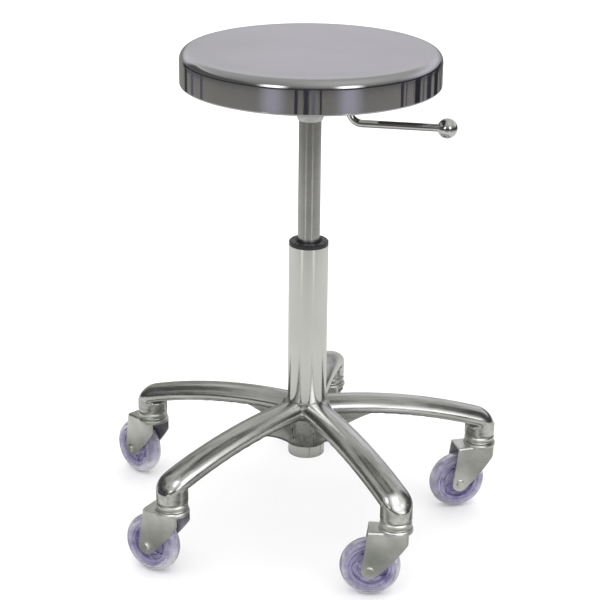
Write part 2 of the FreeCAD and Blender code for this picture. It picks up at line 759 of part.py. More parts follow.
def wheel_core():
    """The clear hub: a rim, a thin web with spokes, and a boss that holds the two bearings."""
    rim_half = CORE_HALF_WIDTH
    boss_half = BOSS_HALF_WIDTH
    core = turned([
        (BEARING_RADIUS, -boss_half),
        (12.5, -boss_half),
        (12.5, -3.0),
        (21.5, -2.0),
        (22.5, -rim_half),
        (CORE_RADIUS, -rim_half),
        (CORE_RADIUS, rim_half),
        (22.5, rim_half),
        (21.5, 2.0),
        (12.5, 3.0),
        (12.5, boss_half),
        (BEARING_RADIUS, boss_half),
        (BEARING_RADIUS, boss_half - BEARING_WIDTH),
        (AXLE_RADIUS + 1.5, boss_half - BEARING_WIDTH),
        (AXLE_RADIUS + 1.5, -boss_half + BEARING_WIDTH),
        (BEARING_RADIUS, -boss_half + BEARING_WIDTH),
    ])
    spoke = Part.makeBox(11.5, 1.8, 2 * rim_half - 3.0, Vector(11.5, -0.9, -rim_half + 1.5))
    for i in range(8):
        core = core.fuse(placed(spoke, i * 45))
    return across(core.removeSplitter(), WHEEL_RADIUS, TRAIL)


def wheel_bearings():
    """Two shielded bearings, one in each end of the hub."""
    boss_half = BOSS_HALF_WIDTH
    bearing = turned([
        (AXLE_RADIUS + FIT, 0),
        (AXLE_RADIUS + 1.9, 0),
        (AXLE_RADIUS + 2.2, 0.5),
        (BEARING_RADIUS - 1.6, 0.5),
        (BEARING_RADIUS - 1.3, 0),
        (BEARING_RADIUS, 0),
        (BEARING_RADIUS, BEARING_WIDTH),
        (AXLE_RADIUS + FIT, BEARING_WIDTH),
    ])
    near = bearing.copy()
    near.translate(Vector(0, 0, -boss_half))
    far = bearing.mirror(ORIGIN, Z_AXIS)
    far.translate(Vector(0, 0, boss_half))
    return [across(near, WHEEL_RADIUS, TRAIL), across(far, WHEEL_RADIUS, TRAIL)]


def tyre():
    """The clear tread: crowned outside, with sides that fall to the core."""
    half = WHEEL_WIDTH / 2
    shoulder_r = WHEEL_RADIUS - 6.5
    foot = Vector(CORE_RADIUS, 0, -CORE_HALF_WIDTH)
    low = Vector(shoulder_r, 0, -half)
    high = Vector(shoulder_r, 0, half)
    head = Vector(CORE_RADIUS, 0, CORE_HALF_WIDTH)
    crown = Vector(WHEEL_RADIUS, 0, 0)
    ring_solid = turned_wire(
        line(head, foot), arc(foot, Vector(27.4, 0, -half + 0.7), low), arc(low, crown, high),
        arc(high, Vector(27.4, 0, half - 0.7), head)
    )
    return across(ring_solid, WHEEL_RADIUS, TRAIL)


def save_caster(number, heading, x, y):
    """Writes the moving pieces of one caster."""
    def here(shape):
        return placed(shape, heading, x, y)
    name = f"caster_{number}_"
    save(name + "fork", here(fork()))
    save(name + "axle_bolt", here(axle_bolt()))
    save(name + "axle_nut", here(axle_nut()))
    save(name + "bearings", *[here(s) for s in wheel_bearings()])
    save(name + "wheel_core", here(wheel_core()))
    save(name + "tyre", here(tyre()))


def save_fixed_caster_pieces():
    """Stems, upper races and balls stay with the base and are the same on every arm."""
    places = [stem_place(i) for i in range(ARM_COUNT)]
    save("caster_stems", *[placed(caster_stem(), 0, x, y) for x, y in places])
    save("caster_race_cups", *[placed(race_cup(), 0, x, y) for x, y in places])
    save("caster_balls", *[placed(ball, 0, x, y) for x, y in places for ball in race_ball_ring()])


def main():
    os.makedirs("parts", exist_ok=True)
    save("base_casting", base_casting())
    save("outer_column", outer_column())
    save("column_cap", column_cap())
    save("guide_sleeve", guide_sleeve())
    save("column_floor_plate", column_floor_plate())
    save("lower_thrust_washer", lower_washer())
    save("thrust_balls", *bearing_balls())
    save("upper_thrust_washer", upper_washer())
    save("rod_clip", rod_clip())
    save("rubber_bumper", bumper())
    save("piston_rod", piston_rod())
    save("piston", piston())
    save("piston_seal", piston_seal())
    save("pressure_tube", pressure_tube())
    save("rod_gland", rod_gland())
    save("valve_body", valve_body())
    save("valve_pin", valve_pin())
    save("seat_shell", seat_shell())
    save("seat_board", board_with_screw_holes())
    save("mounting_plate", mounting_plate())
    save("seat_screws", *seat_screws())
    save("seat_socket", seat_socket())
    save("release_lever", release_lever())
    save("lever_knob", lever_knob())
    save("lever_pivot_pin", lever_pivot_pin())
    save_fixed_caster_pieces()
    for i in range(ARM_COUNT):
        save_caster(i + 1, HEADINGS[i], *stem_place(i))


main()
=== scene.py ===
"""Looks for the dentist stool: detailed pieces, procedural materials, a pale floor, soft light, camera."""
import json
import math

import bmesh
import bpy
import numpy as np
from mathutils import Matrix, Vector

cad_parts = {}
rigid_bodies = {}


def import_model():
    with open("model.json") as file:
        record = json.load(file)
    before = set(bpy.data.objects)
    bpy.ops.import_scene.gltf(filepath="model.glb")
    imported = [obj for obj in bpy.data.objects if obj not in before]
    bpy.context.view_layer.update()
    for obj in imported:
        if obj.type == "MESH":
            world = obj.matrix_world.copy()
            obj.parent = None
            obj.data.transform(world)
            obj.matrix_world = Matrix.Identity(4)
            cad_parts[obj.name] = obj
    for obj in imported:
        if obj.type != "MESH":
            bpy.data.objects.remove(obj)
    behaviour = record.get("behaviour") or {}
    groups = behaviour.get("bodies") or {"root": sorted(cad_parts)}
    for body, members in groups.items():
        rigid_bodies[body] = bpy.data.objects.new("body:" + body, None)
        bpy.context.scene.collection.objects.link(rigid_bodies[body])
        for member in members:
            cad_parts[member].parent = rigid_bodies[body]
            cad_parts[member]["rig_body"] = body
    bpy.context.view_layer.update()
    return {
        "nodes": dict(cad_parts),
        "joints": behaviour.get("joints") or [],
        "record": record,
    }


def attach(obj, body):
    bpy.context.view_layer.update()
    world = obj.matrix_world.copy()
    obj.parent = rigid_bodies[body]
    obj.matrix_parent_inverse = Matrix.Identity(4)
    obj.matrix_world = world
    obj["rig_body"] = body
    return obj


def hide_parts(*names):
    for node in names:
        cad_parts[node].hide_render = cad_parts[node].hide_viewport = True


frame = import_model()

SCENE = bpy.context.scene
MM = 0.001


# ---------------------------------------------------------------- material helpers
def new_material(name):
    """A material with an empty Principled shader, and its node tree."""
    mat = bpy.data.materials.new(name)
    mat.use_nodes = True
    tree = mat.node_tree
    shader = tree.nodes["Principled BSDF"]
    return mat, tree, shader


def stretched(tree, vector, scale):
    """A place stretched by scale."""
    mapping = tree.nodes.new("ShaderNodeMapping")
    mapping.inputs["Scale"].default_value = scale
    tree.links.new(vector, mapping.inputs["Vector"])
    return mapping.outputs["Vector"]


def coordinates(tree, scale=(1, 1, 1)):
    """Object coordinates in metres, stretched by scale."""
    return stretched(tree, tree.nodes.new("ShaderNodeTexCoord").outputs["Object"], scale)


def noise(tree, vector, scale, detail=3.0, roughness=0.5):
    """A noise value from 0 to 1, with scale in waves a metre."""
    made = tree.nodes.new("ShaderNodeTexNoise")
    made.inputs["Scale"].default_value = scale
    made.inputs["Detail"].default_value = detail
    made.inputs["Roughness"].default_value = roughness
    tree.links.new(vector, made.inputs["Vector"])
    return made.outputs["Fac"]


def spread(tree, value, low, high):
    """Maps a 0 to 1 value to low to high."""
    made = tree.nodes.new("ShaderNodeMapRange")
    made.inputs["To Min"].default_value = low
    made.inputs["To Max"].default_value = high
    tree.links.new(value, made.inputs["Value"])
    return made.outputs["Result"]


def ramp(tree, value, stops):
    """A colour for a 0 to 1 value, from stops of (place, colour)."""
    made = tree.nodes.new("ShaderNodeValToRGB")
    elements = made.color_ramp.elements
    while len(elements) < len(stops):
        elements.new(0.5)
    for element, (place, colour) in zip(elements, stops):
        element.position = place
        element.color = (*colour, 1)
    tree.links.new(value, made.inputs["Fac"])
    return made.outputs["Color"]


def bump(tree, shader, height, distance, strength=1.0):
    """Raises a shader's surface by up to distance, in metres, where height is 1."""
    made = tree.nodes.new("ShaderNodeBump")
    made.inputs["Strength"].default_value = strength
    made.inputs["Distance"].default_value = distance
    tree.links.new(height, made.inputs["Height"])
    tree.links.new(made.outputs["Normal"], shader.inputs["Normal"])


EVEN = (1, 1, 1)                 # a grain that runs no way in particular
ALONG_TUBE = (90, 90, 1.5)       # drawn marks along Z
ROUND_TUBE = (1, 1, 130)         # ground marks about Z


def metal(name, dark, light, rough, grain, grain_scale, cloud_scale, depth=0.0):
    """A bare metal: cloudy tone between two colours, roughness in a range, and a fine grain one way."""
    mat, tree, shader = new_material(name)
    shader.inputs["Metallic"].default_value = 1.0
    cloud = noise(tree, coordinates(tree), cloud_scale, 3.0)
    fine = noise(tree, coordinates(tree, grain), grain_scale, 4.0, 0.6)
    tree.links.new(ramp(tree, cloud, ((0.3, dark), (0.7, light))), shader.inputs["Base Color"])
    mixed = tree.nodes.new("ShaderNodeMath")
    mixed.operation = "MULTIPLY_ADD"
    mixed.inputs[1].default_value = 0.5
    tree.links.new(cloud, mixed.inputs[0])
    half = tree.nodes.new("ShaderNodeMath")
    half.operation = "MULTIPLY"
    half.inputs[1].default_value = 0.5
    tree.links.new(fine, half.inputs[0])
    tree.links.new(half.outputs[0], mixed.inputs[2])
    tree.links.new(spread(tree, mixed.outputs[0], *rough), shader.inputs["Roughness"])
    if depth:
        bump(tree, shader, fine, depth)
    return mat


POLISHED_TUBE = metal(
    "polished_tube", (0.80, 0.80, 0.78), (0.90, 0.90, 0.88), (0.10, 0.26), ALONG_TUBE, 4.0, 10.0, 0.00002
)
GROUND_STEEL = metal(
    "ground_steel", (0.46, 0.46, 0.45), (0.60, 0.60, 0.59), (0.16, 0.30), ROUND_TUBE, 6.0, 18.0, 0.00002
)
CHROME = metal(
    "chrome", (0.78, 0.78, 0.78), (0.88, 0.88, 0.88), (0.03, 0.09), EVEN, 120.0, 30.0
)
ZINC_PLATE = metal(
    "zinc_plate", (0.67, 0.69, 0.63), (0.90, 0.91, 0.87), (0.24, 0.40), EVEN, 300.0, 40.0, 0.00012
)
DIE_CAST = metal(
    "die_cast", (0.66, 0.66, 0.67), (0.80, 0.80, 0.81), (0.34, 0.48), EVEN, 260.0, 30.0, 0.0001
)
BEARING_STEEL = metal(
    "bearing_steel", (0.50, 0.50, 0.50), (0.66, 0.66, 0.66), (0.12, 0.26), EVEN, 200.0, 60.0
)

ARM_STEP = math.radians(72)              # between one arm and the next
# The colour of the painted shade that darkens the casting's creases and the foot of its column.
PAINTED_SHADE_COLOUR = (0.045, 0.045, 0.045, 1)
ROOT_SHADE = 0.22                        # how much painted shade darkens the casting at the foot of the column
ROOT_REACH = (0.030, 0.060)              # where it starts to thin out from the column, and where it ends


def arm_coordinates(tree):
    """Places measured in the nearest of the five arms (across, along and up), and their reach from Z."""
    source = tree.nodes.new("ShaderNodeTexCoord")
    split = tree.nodes.new("ShaderNodeSeparateXYZ")
    tree.links.new(source.outputs["Object"], split.inputs[0])
    x, y, z = split.outputs

    def maths(operation, a, b=None):
        made = tree.nodes.new("ShaderNodeMath")
        made.operation = operation
        for socket, value in zip(made.inputs, (a, b)):
            if isinstance(value, float):
                socket.default_value = value
            elif value is not None:
                tree.links.new(value, socket)
        return made.outputs[0]

    angle = maths("ARCTAN2", y, x)
    nearest = maths("MULTIPLY", maths("ROUND", maths("DIVIDE", angle, ARM_STEP)), ARM_STEP)
    offset = maths("SUBTRACT", angle, nearest)
    reach = maths("SQRT", maths("ADD", maths("MULTIPLY", x, x), maths("MULTIPLY", y, y)))
    joined = tree.nodes.new("ShaderNodeCombineXYZ")
    tree.links.new(maths("MULTIPLY", reach, maths("SINE", offset)), joined.inputs[0])
    tree.links.new(maths("MULTIPLY", reach, maths("COSINE", offset)), joined.inputs[1])
    tree.links.new(z, joined.inputs[2])
    return joined.outputs[0], reach


def polished_casting():
    """Hand-polished aluminium: buffing marks that run out along each arm, and painted shade in its creases
    and round the foot of the column.
    """
    mat, tree, shader = new_material("polished_aluminium")
    shader.inputs["Metallic"].default_value = 1.0
    along_arm, reach = arm_coordinates(tree)
    marks = noise(tree, stretched(tree, along_arm, (1, 0.05, 0.7)), 260.0, 3.0, 0.55)
    broad = noise(tree, stretched(tree, along_arm, (1, 0.10, 0.8)), 60.0, 2.0, 0.5)
    tone = tree.nodes.new("ShaderNodeMix")
    tone.inputs["Factor"].default_value = 0.45
    tree.links.new(broad, tone.inputs["A"])
    tree.links.new(marks, tone.inputs["B"])
    clean = ramp(tree, tone.outputs["Result"], ((0.34, (0.50, 0.50, 0.475)), (0.66, (0.84, 0.84, 0.82))))
    # Painted shade: the tone is darkened in the creases and close to the column, whichever is more.
    crease = tree.nodes.new("ShaderNodeAttribute")
    crease.attribute_name = "crease"
    shaded_tone = tree.nodes.new("ShaderNodeMix")
    shaded_tone.data_type = "RGBA"
    root = tree.nodes.new("ShaderNodeMapRange")
    for key, value in zip(("From Min", "From Max", "To Min", "To Max"), (*ROOT_REACH, ROOT_SHADE, 0.0)):
        root.inputs[key].default_value = value
    tree.links.new(reach, root.inputs["Value"])
    painted_shade = tree.nodes.new("ShaderNodeMath")
    painted_shade.operation = "MAXIMUM"
    tree.links.new(crease.outputs["Fac"], painted_shade.inputs[0])
    tree.links.new(root.outputs["Result"], painted_shade.inputs[1])
    tree.links.new(painted_shade.outputs[0], shaded_tone.inputs["Factor"])
    tree.links.new(clean, shaded_tone.inputs[6])
    shaded_tone.inputs[7].default_value = PAINTED_SHADE_COLOUR
    tree.links.new(shaded_tone.outputs[2], shader.inputs["Base Color"])
    tree.links.new(spread(tree, marks, 0.12, 0.30), shader.inputs["Roughness"])
    bump(tree, shader, tone.outputs["Result"], 0.0005, 0.5)
    return mat


POLISHED_ALUMINIUM = polished_casting()


def seat_steel():
    """Stainless sheet: satin, faintly scuffed on the flat top, glossier on the edge, polished on the wall."""
    mat, tree, shader = new_material("seat_stainless")
    shader.inputs["Metallic"].default_value = 1.0
    flat = coordinates(tree)
    cloud = noise(tree, flat, 6.0, 4.0)
    scuffs = noise(tree, coordinates(tree, (1, 14, 1)), 22.0, 6.0, 0.7)
    upright = noise(tree, coordinates(tree, (1, 1, 0.06)), 75.0, 4.0, 0.6)
    geometry = tree.nodes.new("ShaderNodeNewGeometry")
    split = tree.nodes.new("ShaderNodeSeparateXYZ")
    tree.links.new(geometry.outputs["Normal"], split.inputs[0])
    top_rough = spread(tree, scuffs, 0.24, 0.40)
    wall_rough = spread(tree, upright, 0.03, 0.09)
    edge_rough = spread(tree, cloud, 0.07, 0.12)
    rough = wall_rough
    # The roughness changes with how far the surface faces up.
    for start, end, value in ((0.03, 0.16, edge_rough), (0.90, 0.995, top_rough)):
        step = tree.nodes.new("ShaderNodeMapRange")
        step.inputs["From Min"].default_value = start
        step.inputs["From Max"].default_value = end
        tree.links.new(split.outputs["Z"], step.inputs["Value"])
        mix = tree.nodes.new("ShaderNodeMix")
        tree.links.new(step.outputs["Result"], mix.inputs["Factor"])
        tree.links.new(rough, mix.inputs["A"])
        tree.links.new(value, mix.inputs["B"])
        rough = mix.outputs["Result"]
    tree.links.new(rough, shader.inputs["Roughness"])
    tone = ramp(tree, cloud, ((0.25, (0.585, 0.58, 0.60)), (0.75, (0.70, 0.69, 0.715))))
    tree.links.new(tone, shader.inputs["Base Color"])
    waves = tree.nodes.new("ShaderNodeMath")
    waves.operation = "ADD"
    tree.links.new(cloud, waves.inputs[0])
    tree.links.new(upright, waves.inputs[1])
    bump(tree, shader, waves.outputs[0], 0.0003, 0.3)
    return mat


def moulded(name, dark, light, rough, grain_scale, depth):
    """A moulded or cut solid material: mottled tone, wandering roughness and a fine skin."""
    mat, tree, shader = new_material(name)
    vector = coordinates(tree)
    tree.links.new(
        ramp(tree, noise(tree, vector, 40.0), ((0.3, dark), (0.7, light))), shader.inputs["Base Color"]
    )
    skin = noise(tree, vector, grain_scale, 4.0, 0.6)
    tree.links.new(spread(tree, skin, *rough), shader.inputs["Roughness"])
    bump(tree, shader, skin, depth)
    return mat


def stained_board():
    """Black-stained plywood: a long grain that shows faintly through the stain."""
    mat, tree, shader = new_material("stained_board")
    grain = noise(tree, coordinates(tree, (1, 16, 3)), 12.0, 6.0, 0.65)
    tree.links.new(
        ramp(tree, grain, ((0.3, (0.018, 0.015, 0.013)), (0.7, (0.040, 0.034, 0.028)))),
        shader.inputs["Base Color"]
    )
    tree.links.new(spread(tree, grain, 0.55, 0.75), shader.inputs["Roughness"])
    bump(tree, shader, grain, 0.0003)
    return mat


def clear_violet(name, dark, light, rough, clear):
    """Translucent violet polyurethane: a clear share, the rest milky, with faint flow marks."""
    mat, tree, shader = new_material(name)
    vector = coordinates(tree)
    flow = noise(tree, vector, 70.0, 3.0, 0.6)
    tree.links.new(ramp(tree, flow, ((0.3, dark), (0.7, light))), shader.inputs["Base Color"])
    shader.inputs["Transmission Weight"].default_value = clear
    shader.inputs["IOR"].default_value = 1.45
    tree.links.new(spread(tree, flow, *rough), shader.inputs["Roughness"])
    bump(tree, shader, flow, 0.0004, 0.4)
    return mat


SEAT_STEEL = seat_steel()
BLACK_PLASTIC = moulded(
    "black_plastic", (0.010, 0.010, 0.011), (0.022, 0.022, 0.023), (0.22, 0.42), 420.0, 0.00008
)
GUIDE_PLASTIC = moulded("guide_plastic", (0.72, 0.71, 0.67), (0.80, 0.79, 0.75), (0.35, 0.5), 300.0, 0.00005)
RUBBER = moulded("rubber", (0.016, 0.016, 0.016), (0.03, 0.03, 0.03), (0.6, 0.8), 260.0, 0.0001)
STAINED_BOARD = stained_board()
TREAD = clear_violet("clear_tread", (0.28, 0.26, 0.40), (0.56, 0.54, 0.68), (0.10, 0.26), 0.60)
CORE = clear_violet("clear_core", (0.20, 0.17, 0.40), (0.62, 0.59, 0.78), (0.10, 0.26), 0.50)

FINISHES = {
    "polished_aluminium": POLISHED_ALUMINIUM,
    "polished_tube": POLISHED_TUBE,
    "stainless": SEAT_STEEL,
    "ground_steel": GROUND_STEEL,
    "chrome": CHROME,
    "zinc_plate": ZINC_PLATE,
    "bearing_steel": BEARING_STEEL,
    "black_plastic": BLACK_PLASTIC,
    "guide_plastic": GUIDE_PLASTIC,
    "rubber": RUBBER,
    "die_cast": DIE_CAST,
    "plywood": STAINED_BOARD,
    "clear_tread": TREAD,
    "clear_core": CORE,
}

# Every CAD node wears the finish that its record names.
SLOT_OF = {row["node"]: row["material_slot"] for row in frame["record"]["subparts"]}
for name, cad in frame["nodes"].items():
    cad.data.materials.clear()
    cad.data.materials.append(FINISHES[SLOT_OF[name]])


# ---------------------------------------------------------------- detailed pieces
def finished(name, mesh, mat, stands_for, smooth_angle=None):
    """Makes the object for a mesh that stands for CAD nodes: it rides on their body and wears a material.

    Edges sharper than the smooth angle, in degrees, stay sharp.
    """
    mesh.materials.clear()
    mesh.materials.append(mat)
    piece = bpy.data.objects.new(name, mesh)
    SCENE.collection.objects.link(piece)
    for polygon in mesh.polygons:
        polygon.use_smooth = True
    if smooth_angle is not None:
        mesh.set_sharp_from_angle(angle=math.radians(smooth_angle))
    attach(piece, frame["nodes"][stands_for[0]]["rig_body"])
    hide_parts(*stands_for)


def baked(source, *modifiers):
    """The mesh of a source mesh after modifiers, each given as (kind, {setting: value})."""
    worker = bpy.data.objects.new("worker", source)
    SCENE.collection.objects.link(worker)
    for kind, settings in modifiers:
        made = worker.modifiers.new(kind.lower(), kind)
        for key, value in settings.items():
            setattr(made, key, value)
    graph = bpy.context.evaluated_depsgraph_get()
    mesh = bpy.data.meshes.new_from_object(worker.evaluated_get(graph))
    bpy.data.objects.remove(worker)
    return mesh


# How sharply a hollow bends, in 1 / metre, where the painted shade starts and where it is darkest.
CREASE_START = 38.0
CREASE_FULL = 120.0
CASTING_VOXEL = 1.2 * MM
CASTING_SOFTENING = 10           # smoothing passes, which round the corners into fillets


def mark_creases(mesh, start, full, passes=2):
    """Gives each point of a mesh a crease value: 0 where it is flat or bulges, 1 in a tight hollow."""
    count = len(mesh.vertices)
    place = np.empty(count * 3)
    mesh.vertices.foreach_get("co", place)
    place = place.reshape(-1, 3)
    normal = np.empty(count * 3)
    mesh.vertices.foreach_get("normal", normal)
    normal = normal.reshape(-1, 3)
    ends = np.empty(len(mesh.edges) * 2, dtype=np.int64)
    mesh.edges.foreach_get("vertices", ends)
    a, b = ends.reshape(-1, 2).T
    # How far each neighbour stands above the surface, over its distance squared, averaged at each point.
    step = place[b] - place[a]
    gap = np.einsum("ij,ij->i", step, step) + 1e-12
    hollow = np.bincount(a, np.einsum("ij,ij->i", step, normal[a]) / gap, count)
    hollow -= np.bincount(b, np.einsum("ij,ij->i", step, normal[b]) / gap, count)
    share = np.bincount(a, minlength=count) + np.bincount(b, minlength=count)
    hollow /= share
    for _ in range(passes):
        around = np.bincount(a, hollow[b], count) + np.bincount(b, hollow[a], count)
        hollow = 0.5 * hollow + 0.5 * around / share
    value = np.clip((hollow - start) / (full - start), 0, 1)
    layer = mesh.attributes.new("crease", "FLOAT", "POINT")
    layer.data.foreach_set("value", value.astype(np.float32))


def cast_base():
    """The base with the soft fillets of a casting where its arms, ribs, hub and sockets meet."""
    mesh = baked(
        frame["nodes"]["base_casting"].data.copy(),
        ("REMESH", {"mode": "VOXEL", "voxel_size": CASTING_VOXEL, "adaptivity": 0.0}),
        ("SMOOTH", {"factor": 0.5, "iterations": CASTING_SOFTENING}),
    )
    # The crease values say where the casting is darkened with painted shade.
    mark_creases(mesh, CREASE_START, CREASE_FULL)
    finished("cast_base", mesh, POLISHED_ALUMINIUM, ("base_casting",))


def lathe(name, outline, segments):
    """A closed ring mesh: an outline of (radius, along) corners turned about the Z axis."""
    verts, faces = [], []
    count = len(outline)
    for i in range(segments):
        a = 2 * math.pi * i / segments
        verts += [(r * math.cos(a), r * math.sin(a), z) for r, z in outline]
    for i in range(segments):
        for j in range(count):
            k = (i + 1) % segments
            m = (j + 1) % count
            faces.append((i * count + j, k * count + j, k * count + m, i * count + m))
    mesh = bpy.data.meshes.new(name)
    mesh.from_pydata(verts, [], faces)
    return mesh


def rounded(points, radius, steps=3):
    """A closed outline with its corners rounded, by no more than nearly half of the sides beside them."""
    out = []
    count = len(points)
    for i in range(count):
        here = Vector(points[i])
        before = Vector(points[i - 1]) - here
        after = Vector(points[(i + 1) % count]) - here
        reach = min(radius, before.length * 0.45, after.length * 0.45)
        start, end = here + before.normalized() * reach, here + after.normalized() * reach
        for k in range(steps + 1):
            t = k / steps
            out.append(tuple(start * (1 - t) ** 2 + here * 2 * t * (1 - t) + end * t ** 2))
    return out


WHEEL_SEGMENTS = 96
SEAT_SEGMENTS = 240

# The pressed seat's section, in mm.
PAN_WALL = 160.5                 # outside radius
PAN_RIM = 588.5                  # height of the hem's underside
PAN_SHEET = 1.2
PAN_HEM = 6.0
PAN_CEILING = 628.6              # height of the top's inner face
PAN_TOP = ((0.0, 629.1), (60.0, 629.1), (100.0, 629.1), (116.0, 629.14), (122.0, 629.24), (128.0, 629.5),
           (134.0, 629.78), (139.0, 629.93), (143.5, 629.97))
EDGE_CENTRE = (149.0, 618.4)
EDGE_ROLL = 11.5                 # radius of the rolled edge
EDGE_SWEEP = 84                  # degrees of it, from the wall up


def rolled_edge(radius, steps):
    """Points up the rolled edge of the seat, from the wall to the top, at a radius about its centre."""
    centre_r, centre_z = EDGE_CENTRE
    sweep = [math.radians(EDGE_SWEEP * i / steps) for i in range(steps + 1)]
    return [(centre_r + radius * math.cos(a), centre_z + radius * math.sin(a)) for a in sweep]


def pan_outline():
    """The seat's section, from the middle of its faintly dished top round the hem to the underside."""
    wall, rim, sheet, hem = PAN_WALL, PAN_RIM, PAN_SHEET, PAN_HEM
    outer = [*PAN_TOP, *reversed(rolled_edge(EDGE_ROLL, 22))]
    outer += [(wall, EDGE_CENTRE[1] - 0.4), (wall, 606.0), (wall, rim + 2.2), (wall, rim + 1.6),
              (wall - 0.3, rim + 0.6), (wall - 1.0, rim)]
    inner = [(wall - hem + 0.4, rim), (wall - hem, rim + 0.5), (wall - hem, rim + sheet),
             (wall - sheet, rim + sheet + 0.6), *rolled_edge(EDGE_ROLL - sheet, 8)]
    inner += [(140.0, PAN_CEILING), (0.0, PAN_CEILING)]
    return [(r * MM, z * MM) for r, z in outer + inner]


def seat_pan():
    """The pressed seat, replaced by a finely turned one with a dished top and rolled edges."""
    bm = bmesh.new()
    outline = pan_outline()
    top = bm.verts.new((0, 0, outline[0][1]))
    under = bm.verts.new((0, 0, outline[-1][1]))
    columns = []
    for i in range(SEAT_SEGMENTS):
        a = 2 * math.pi * i / SEAT_SEGMENTS
        columns.append([bm.verts.new((r * math.cos(a), r * math.sin(a), z)) for r, z in outline[1:-1]])
    for i in range(SEAT_SEGMENTS):
        here, after = columns[i], columns[(i + 1) % SEAT_SEGMENTS]
        bm.faces.new((top, here[0], after[0]))
        for j in range(len(here) - 1):
            bm.faces.new((here[j], here[j + 1], after[j + 1], after[j]))
        bm.faces.new((here[-1], under, after[-1]))
    bmesh.ops.recalc_face_normals(bm, faces=bm.faces)
    mesh = bpy.data.meshes.new("seat_pan")
    bm.to_mesh(mesh)
    bm.free()
    finished("seat_pan", mesh, SEAT_STEEL, ("seat_shell",), 60)


# Half of each wheel piece's section, as (radius, half width) in mm.
# The tread: a bonded root, ringed sides and a crowned face.
TREAD_SIDE = ((26.2, 9.4), (27.6, 11.0), (29.4, 11.6), (30.0, 11.0), (31.4, 10.8), (32.0, 11.3),
              (33.2, 10.3), (35.2, 7.7), (36.6, 4.6), (37.3, 1.6))
TREAD_SOFTNESS = 0.8
# The core: the boss, a raised ring on a thin web, and the rim.
CORE_SIDE = ((9.1, 13.2), (11.6, 13.2), (12.2, 8.0), (13.2, 4.6), (15.6, 4.2), (16.2, 6.2), (17.6, 6.2),
             (18.2, 4.0), (21.6, 4.0), (22.2, 8.6), (23.6, 9.2), (26.2, 9.2))
CORE_SOFTNESS = 0.6
RIB_COUNT = 7
RIB_START, RIB_END = 11.4 * MM, 22.8 * MM
RIB_HALF_HEIGHT = 7.6 * MM       # at its ends; it is lower in the middle
RIB_HALF_THICKNESS = 0.7 * MM
RIB_CURVE = 0.5                  # radians that a rib turns on its way out


def wheel_outline(side, softness):
    """Half a section mirrored into a whole, with its corners rounded."""
    points = [*side, *((r, -z) for r, z in reversed(side))]
    return [(r * MM, z * MM) for r, z in rounded(points, softness)]


def curved_rib(bm, turn):
    """One swept rib of the core, from the boss to the rim."""
    steps = 8
    rows = []
    for i in range(steps + 1):
        t = i / steps
        r = RIB_START + (RIB_END - RIB_START) * t
        a = turn + RIB_CURVE * t * t
        centre = Vector((r * math.cos(a), r * math.sin(a), 0))
        normal = Vector((-math.sin(a), math.cos(a), 0)) * RIB_HALF_THICKNESS
        top = RIB_HALF_HEIGHT * (0.78 + 0.22 * abs(2 * t - 1))
        rows.append([
            bm.verts.new(centre + normal * side + Vector((0, 0, top * up)))
            for side, up in ((-1, -1), (1, -1), (1, 1), (-1, 1))
        ])
    for low, high in zip(rows, rows[1:]):
        for k in range(4):
            bm.faces.new((low[k], low[(k + 1) % 4], high[(k + 1) % 4], high[k]))
    bm.faces.new(rows[0][::-1])
    bm.faces.new(rows[-1])


def core_mesh():
    """The clear core: its turned body and its ribs."""
    bm = bmesh.new()
    bm.from_mesh(lathe("core_body", wheel_outline(CORE_SIDE, CORE_SOFTNESS), WHEEL_SEGMENTS))
    for i in range(RIB_COUNT):
        curved_rib(bm, 2 * math.pi * i / RIB_COUNT)
    bmesh.ops.recalc_face_normals(bm, faces=bm.faces)
    mesh = bpy.data.meshes.new("core")
    bm.to_mesh(mesh)
    bm.free()
    return mesh


def wheels():
    """Ringed clear treads and ribbed cores, on the axles that the frame's joints give."""
    for joint in frame["joints"]:
        if not joint["name"].endswith("_roll"):
            continue
        caster = joint["name"][:-len("roll")]
        turn = Vector(joint["axis"]).to_track_quat("Z", "Y").to_matrix().to_4x4()
        place = Matrix.Translation(Vector(joint["pos_m"])) @ turn
        tread = lathe(caster + "ringed_tread", wheel_outline(TREAD_SIDE, TREAD_SOFTNESS), WHEEL_SEGMENTS)
        core = core_mesh()
        core.name = caster + "ribbed_core"
        for mesh in (tread, core):
            mesh.transform(place)
        finished(caster + "ringed_tread", tread, TREAD, (caster + "tyre",), 50)
        finished(caster + "ribbed_core", core, CORE, (caster + "wheel_core",), 40)


# The race cup's section, as (radius, height) in mm: a soft shoulder, the skirt and a rolled lip.
CUP_SECTION = ((6.0, 101.5), (18.0, 101.5), (18.5, 101.2), (18.7, 100.5), (19.3, 100.1), (19.6, 99.4),
               (19.6, 95.4), (19.1, 94.9), (19.0, 94.4), (19.5, 94.0), (19.6, 93.5), (19.2, 93.2),
               (17.7, 93.2), (17.6, 99.3), (6.0, 99.3))


def race_cups():
    """The casters' upper cups, replaced by turned ones with a soft shoulder and a rolled lip."""
    outline = [(r * MM, z * MM) for r, z in CUP_SECTION]
    whole = bmesh.new()
    for joint in frame["joints"]:
        if joint["name"].startswith("caster") and joint["name"].endswith("_swivel"):
            ring = lathe("race_cup", outline, WHEEL_SEGMENTS)
            x, y, _ = joint["pos_m"]
            ring.transform(Matrix.Translation((x, y, 0)))
            whole.from_mesh(ring)
    bmesh.ops.recalc_face_normals(whole, faces=whole.faces)
    mesh = bpy.data.meshes.new("race_cups")
    whole.to_mesh(mesh)
    whole.free()
    finished("race_cups", mesh, FINISHES[SLOT_OF["caster_race_cups"]], ("caster_race_cups",), 70)


cast_base()
seat_pan()
race_cups()
wheels()

# ---------------------------------------------------------------- camera
VIEW_TURN = math.radians(-9.87)          # the camera's azimuth, about +Z
VIEW_DISTANCE = 2.1309                   # from the Z axis
VIEW_HEIGHT = 1.1162
PITCH_DOWN = math.radians(20.859)
YAW = math.radians(-0.275)
ROLL = math.radians(0.643)
LENS = 107.09                            # in mm, for the sensor's width
SENSOR = 36.0


